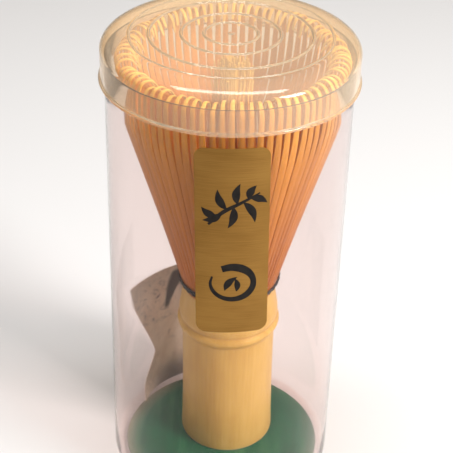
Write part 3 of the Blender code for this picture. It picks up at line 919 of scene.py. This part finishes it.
def grip_profile():
    """Outline of the cane from its open top, down the outside, and up its bore."""
    diaphragm_top = NODE_HEIGHT + DIAPHRAGM_HALF
    diaphragm_low = NODE_HEIGHT - DIAPHRAGM_HALF
    table = [(-GRIP_TOP, flare_radius(GRIP_TOP))]
    table += [(-height * MM, radius * MM) for height, radius in GRIP_OUTSIDE]
    profile = [(0.0, diaphragm_top), (CUP_RADIUS - 3.0 * MM, diaphragm_top + 0.1 * MM)]
    corner = 1.4 * MM
    centre = (CUP_RADIUS - corner, diaphragm_top + 0.1 * MM + corner)
    profile += arc_points(centre, (corner, corner), -90.0, 0.0, 5)
    profile.append((CUP_RADIUS, GRIP_TOP))
    for step in range(PROFILE_STEPS + 1):
        place = mix(table[0][0], table[-1][0], step / PROFILE_STEPS)
        profile.append((smooth_interpolate(table, place), -place))
    corner = FOOT_ROUNDING
    profile += arc_points((12.35 * MM, corner), (corner, corner), 0.0, -90.0, 4)
    profile += arc_points((GRIP_BORE + corner, corner), (corner, corner), -90.0, -180.0, 4)
    profile += wall_points(GRIP_BORE, 0.6 * MM, 33.0 * MM, 8)
    corner = 2.0 * MM
    centre = (GRIP_BORE - corner, diaphragm_low - corner)
    profile += arc_points(centre, (corner, corner), 0.0, 90.0, 5)
    profile.append((0.0, diaphragm_low))
    return profile


def build_grip(material, matrix):
    """Bamboo grip: hollow below, closed by the node's diaphragm, a short cup above it."""

    def waver(azimuth, radius, height):
        if radius < 11.5 * MM:
            return 0.0
        slow = math.sin(2.0 * azimuth + 0.7) + 0.5 * math.sin(3.0 * azimuth + height / (9.0 * MM))
        return 0.05 * MM * slow - 0.07 * MM

    mesh = turned_mesh("cane_grip", grip_profile(), GRIP_SEGMENTS, 50.0, waver)

    # Painted shade in the grooves above and below the node, on the outside of the cane only.
    def groove_shade(place):
        total = 0.0
        for middle, reach, depth in NODE_GROOVE_SHADE:
            total += depth * math.exp(-(((place.z - middle) / reach) ** 2))
        return total * smooth_step(11.6 * MM, 12.1 * MM, math.hypot(place.x, place.y))

    paint(mesh, "ring", groove_shade)
    paint(mesh, "cut", lambda place: smooth_step(0.5 * MM, 0.1 * MM, place.z))
    mesh.transform(matrix)
    add_piece("cane_grip", mesh, material, "whisk", ["handle"])


def sweep_tine(bm, azimuth, path, layers, tone):
    """Closed bar along a path of (radius, height, sideways, thickness, width, along) rows."""
    out = on_cylinder(1.0, azimuth, 0.0)
    side = Vector((-out.y, out.x, 0.0))
    centres = [out * row[0] + UP * row[1] + side * row[2] for row in path]
    rings = []
    for index, row in enumerate(path):
        before = centres[max(index - 1, 0)]
        after = centres[min(index + 1, len(path) - 1)]
        run = (after - before).normalized()
        normal = side.cross(run).normalized()
        across = run.cross(normal).normalized()
        deep, wide = normal * row[3], across * row[4]
        ring = []
        for outwards, sideways in TINE_SECTION:
            vertex = bm.verts.new(centres[index] + deep * outwards + wide * sideways)
            vertex[layers["along"]] = row[5]
            vertex[layers["tone"]] = tone
            ring.append(vertex)
        rings.append(ring)
    close_bar(bm, rings)


def outer_tine_path(draw):
    """Path of one outer tine: straight flare, bend to the crown and a hook with its own shape."""
    reach = draw.uniform(*REACH_SPREAD) * MM
    rise = draw.uniform(*RISE_SPREAD) * MM
    hook = HOOK_RADIUS * draw.uniform(*HOOK_SPREAD)
    tip = HOOK_TIP * draw.uniform(*TIP_SPREAD)
    drift = draw.uniform(*DRIFT_SPREAD) * MM
    sway = draw.uniform(*SWAY_SPREAD) * MM
    turn = draw.uniform(*TURN_SPREAD)
    low = (flare_radius(TINE_START) - 0.60 * MM, TINE_START)
    waist = (low[0], FLARE_START_HEIGHT)
    end = (flare_radius(FLARE_END_HEIGHT) - 0.3 * MM, FLARE_END_HEIGHT)
    crown = (CROWN_RADIUS + reach, CROWN_HEIGHT + rise)
    bend = (crown[0], end[1] + (crown[0] - end[0]) / FLARE_SLOPE)
    rows = [low + (0.0, ROOT_THICKNESS, low[0] * TINE_PITCH * TINE_FILL, 0.0)]
    for step in range(10):
        share = step / 10.0
        radius = mix(waist[0], end[0], share)
        height = mix(waist[1], end[1], share)
        thin = mix(ROOT_THICKNESS, TINE_THICKNESS, smooth_step(0.0, 0.5, share))
        wide = min(TINE_WIDTH, radius * TINE_PITCH * TINE_FILL)
        rows.append((radius, height, sway * share, thin, wide, mix(*FLARE_TONES, share)))
    for step in range(11):
        share = step / 10.0
        keep = 1.0 - share
        radius = keep * keep * end[0] + 2.0 * keep * share * bend[0] + share * share * crown[0]
        height = keep * keep * end[1] + 2.0 * keep * share * bend[1] + share * share * crown[1]
        thin = mix(TINE_THICKNESS, HOOK_THICKNESS, share)
        wide = mix(TINE_WIDTH, CROWN_WIDTH, share)
        rows.append((radius, height, sway, thin, wide, mix(FLARE_TONES[1], CROWN_TONE, share)))
    steps = 14
    for step in range(1, steps + 1):
        share = step / steps
        angle = math.radians(turn * share)
        radius = crown[0] - hook + hook * math.cos(angle)
        height = crown[1] + hook * math.sin(angle)
        thin = mix(HOOK_THICKNESS, TIP_THICKNESS, share)
        wide = mix(CROWN_WIDTH, TIP_WIDTH, smooth_step(0.0, 0.7, share))
        aside = sway + drift * share * share
        rows.append((radius, height, aside, thin, wide, mix(CROWN_TONE, HOOK_TONE, share)))
    last = rows[-1]
    heading = math.radians(turn + 90.0)
    for step in range(1, 4):
        share = step / 3.0
        radius = last[0] + tip * share * math.cos(heading)
        height = last[1] + tip * share * math.sin(heading)
        thin = TIP_THICKNESS * mix(1.0, 0.6, share)
        wide = TIP_WIDTH * mix(1.0, 0.7, share)
        rows.append((radius, height, last[2] + 0.3 * drift * share, thin, wide, 1.0))
    return rows


def inner_tone(share):
    """Place of an inner tine's colour along the ramp: orange for most of it, straw at its tip."""
    return mix(0.35, 0.80, share) + 0.20 * smooth_step(0.80, 0.97, share)


def inner_tine_path(draw, layer):
    """Path of one inner tine: it closes into a bundle, and its tip curls a little."""
    top_radius = INNER_TOP_RADII[layer] * MM * draw.uniform(0.90, 1.10)
    top = INNER_TOP_HEIGHT + draw.uniform(-1.6, 0.2) * MM - INNER_LAYER_DROP * layer
    twist = draw.uniform(-0.7, 0.7) * MM
    curl = draw.uniform(0.1, 0.8) * MM
    rows = []
    for step in range(INNER_STEPS + 1):
        share = step / INNER_STEPS
        height = mix(TINE_START, top, share)
        closing = 0.5 - 0.5 * math.cos(math.pi * share**1.12)
        radius = mix(INNER_ROOT_RADIUS, top_radius, closing)
        radius += curl * smooth_step(0.93, 1.0, share)
        thin = mix(*INNER_THICKNESSES, smooth_step(0.0, 0.35, share)) * mix(1.0, 0.8, share)
        narrowest, widest = INNER_WIDTHS
        wide = max(min(radius * TINE_PITCH * INNER_FILL, widest), narrowest)
        side = twist * smooth_step(0.35, 1.0, share)
        rows.append((radius, height, side, thin, wide, inner_tone(share)))
    return rows


def fan_mesh(name, azimuths, paths, tones, matrix):
    """Five tines of one sixteenth of the cane, in one mesh."""
    bm = bmesh.new()
    layers = {key: bm.verts.layers.float.new(key) for key in ("along", "tone")}
    for azimuth, path, tone in zip(azimuths, paths, tones):
        sweep_tine(bm, azimuth, path, layers, tone)
    mesh = finish_mesh(name, bm, 60.0)
    mesh.transform(matrix)
    return mesh


def build_tines(material, matrix):
    """Two rings of fans: hooked outer tines and the bundle of thin inner ones."""
    draw = random.Random(20)
    for ring in ("outer", "inner"):
        for fan in range(FAN_COUNT):
            azimuths, paths, tones = [], [], []
            shade = draw.uniform(0.35, 0.8)
            for tine in range(TINES_PER_FAN):
                place = (tine - (TINES_PER_FAN - 1) / 2.0) * TINE_PITCH
                azimuth = fan * TINES_PER_FAN * TINE_PITCH + place
                if ring == "outer":
                    paths.append(outer_tine_path(draw))
                    azimuth += draw.uniform(-0.0022, 0.0022)
                else:
                    paths.append(inner_tine_path(draw, (fan * TINES_PER_FAN + tine) * 3 % 4))
                    azimuth += 0.5 * TINE_PITCH
                azimuths.append(azimuth)
                tones.append(min(max(shade + draw.uniform(-0.3, 0.3), 0.0), 1.0))
            name = f"{ring}_fan_{fan + 1:02d}"
            mesh = fan_mesh(name, azimuths, paths, tones, matrix)
            node = f"{ring}_tines_{fan + 1:02d}"
            add_piece(name, mesh, material, "whisk", [node])


def tube_along(bm, centres, radius, sides):
    """Round tube through a list of points, closed at both ends."""
    rings = []
    for index, centre in enumerate(centres):
        before = centres[max(index - 1, 0)]
        after = centres[min(index + 1, len(centres) - 1)]
        run = (after - before).normalized()
        first = run.cross(UP)
        if first.length < 0.2:
            first = run.cross(Vector((1.0, 0.0, 0.0)))
        first.normalize()
        second = run.cross(first)
        ring = []
        for side in range(sides):
            angle = 2.0 * math.pi * side / sides
            offset = first * math.cos(angle) + second * math.sin(angle)
            ring.append(bm.verts.new(centre + offset * radius))
        rings.append(ring)
    close_bar(bm, rings)


def thread_centre(turns):
    """Middle of the thread after some turns: it dips between every second pair of tines."""
    azimuth = 2.0 * math.pi * turns + THREAD_AZIMUTH
    height = THREAD_START + THREAD_PITCH * turns
    dip = THREAD_DIP * math.cos(azimuth * TINE_COUNT / 2.0)
    return on_cylinder(flare_radius(height) + THREAD_GAP + dip, azimuth, height)


def ply_points(count, phase):
    """Middle line of one ply, twisted round the thread's own middle line."""
    points = []
    for index in range(count + 1):
        turns = THREAD_TURNS * index / count
        centre = thread_centre(turns)
        out = Vector((centre.x, centre.y, 0.0)).normalized()
        twists = turns / THREAD_TURNS * THREAD_LENGTH / THREAD_TWIST_LENGTH
        angle = 2.0 * math.pi * twists + phase
        offset = out * math.cos(angle) + UP * math.sin(angle)
        points.append(centre + offset * THREAD_PLY_RADIUS * 0.85)
    return points


def build_thread(material, matrix):
    """Two-ply black thread wound round the roots of the tines, with a small knot behind."""
    bm = bmesh.new()
    for phase in (0.0, math.pi):
        tube_along(bm, ply_points(1000, phase), THREAD_PLY_RADIUS, 6)
    height = THREAD_START + KNOT_RISE
    middle = on_cylinder(flare_radius(height) + KNOT_GAP, KNOT_AZIMUTH, height)
    out = on_cylinder(1.0, KNOT_AZIMUTH, 0.0)
    side = Vector((-out.y, out.x, 0.0))
    knot = []
    for step in range(61):
        angle = 2.0 * math.pi * step / 64.0
        across = math.sin(angle) + 2.0 * math.sin(2.0 * angle)
        along = math.cos(angle) - 2.0 * math.cos(2.0 * angle)
        depth = -math.sin(3.0 * angle)
        flat = (side * across + UP * along) * KNOT_SIZE
        knot.append(middle + flat + out * depth * KNOT_PLY_RADIUS)
    tube_along(bm, knot, KNOT_PLY_RADIUS, 8)
    for direction in (-1.0, 1.0):
        tail = []
        for step in range(16):
            share = step / 15.0
            sideways = direction * (0.4 + 1.6 * share) * MM
            drop = (-0.3 - 2.6 * share * share) * MM
            lift = (0.15 - 0.75 * share * share) * MM
            tail.append(middle + side * sideways + UP * drop + out * lift)
        tube_along(bm, tail, TAIL_RADIUS, 8)
    mesh = finish_mesh("wound_thread", bm, 60.0)
    mesh.transform(matrix)
    add_piece("wound_thread", mesh, material, "whisk", ["binding_thread"])


# Stage


def build_floor():
    """Plain pale floor, round and wide."""
    bm = bmesh.new()
    bmesh.ops.create_circle(bm, cap_ends=True, radius=FLOOR_RADIUS, segments=96)
    mesh = bpy.data.meshes.new("studio_floor")
    bm.to_mesh(mesh)
    bm.free()
    floor = bpy.data.objects.new("studio_floor", mesh)
    material, tree, shader = new_material("studio_floor")
    set_inputs(shader, {"Base Color": FLOOR_COLOUR, "Roughness": 0.7})
    mesh.materials.append(material)
    bpy.context.scene.collection.objects.link(floor)


def add_area_light(name, place, size, power, colour):
    """Soft rectangular light that faces the middle of the object."""
    data = bpy.data.lights.new(name, "AREA")
    data.shape = "RECTANGLE"
    data.size, data.size_y = size
    data.energy = power
    data.color = colour
    light = bpy.data.objects.new(name, data)
    light.location = place
    aim = Vector(LIGHT_TARGET) - Vector(place)
    light.rotation_euler = aim.to_track_quat("-Z", "Y").to_euler()
    bpy.context.scene.collection.objects.link(light)


def light_scene():
    """Soft room with a key light above the front right and a long one over the lid."""
    scene = bpy.context.scene
    world = bpy.data.worlds.new("studio")
    world.use_nodes = True
    tree = world.node_tree
    background = tree.nodes["Background"]
    background.inputs["Strength"].default_value = WORLD_STRENGTH
    place = add_node(tree, "ShaderNodeTexCoord")
    split = add_node(tree, "ShaderNodeSeparateXYZ")
    tree.links.new(place.outputs["Generated"], split.inputs["Vector"])
    tree.links.new(ramp(tree, split.outputs["Z"], WORLD_STOPS), background.inputs["Color"])
    scene.world = world
    scene.view_settings.view_transform = "Standard"
    add_area_light("key", *KEY_LIGHT)
    add_area_light("overhead", *OVERHEAD_LIGHT)


def add_camera():
    """Camera at the viewing angle of the picture."""
    data = bpy.data.cameras.new("camera")
    data.lens = CAMERA_LENS
    data.sensor_width = CAMERA_SENSOR
    data.clip_start = 0.01
    camera = bpy.data.objects.new("camera", data)
    turn = Matrix.Rotation(-CAMERA_YAW, 4, "Z")
    tilt = Matrix.Rotation(math.pi / 2.0 - CAMERA_PITCH, 4, "X")
    roll = Matrix.Rotation(CAMERA_ROLL, 4, "Z")
    camera.matrix_world = Matrix.Translation(CAMERA_PLACE) @ turn @ tilt @ roll
    bpy.context.scene.collection.objects.link(camera)
    bpy.context.scene.camera = camera


def main():
    """Build every piece, the stage, the light and the camera."""
    add_camera()
    light_scene()
    build_floor()
    tube_look = {"tint": TUBE_TINT, "haze": 0.006, "specular": 0.15, "waviness": 0.02 * MM}
    lid_look = {"tint": LID_TINT, "haze": 0.15, "specular": 0.7, "waviness": 0.03 * MM}
    build_tube(clear_plastic("clear_tube_plastic", **tube_look))
    build_lid(clear_plastic("clear_lid_plastic", **lid_look))
    build_label(gold_foil())
    build_label_ink(black_ink())
    build_disc(green_card())
    build_leaflet(printed_paper())
    matrix = whisk_matrix()
    build_grip(pale_bamboo(), matrix)
    build_tines(tine_bamboo(), matrix)
    build_thread(black_thread(), matrix)


main()
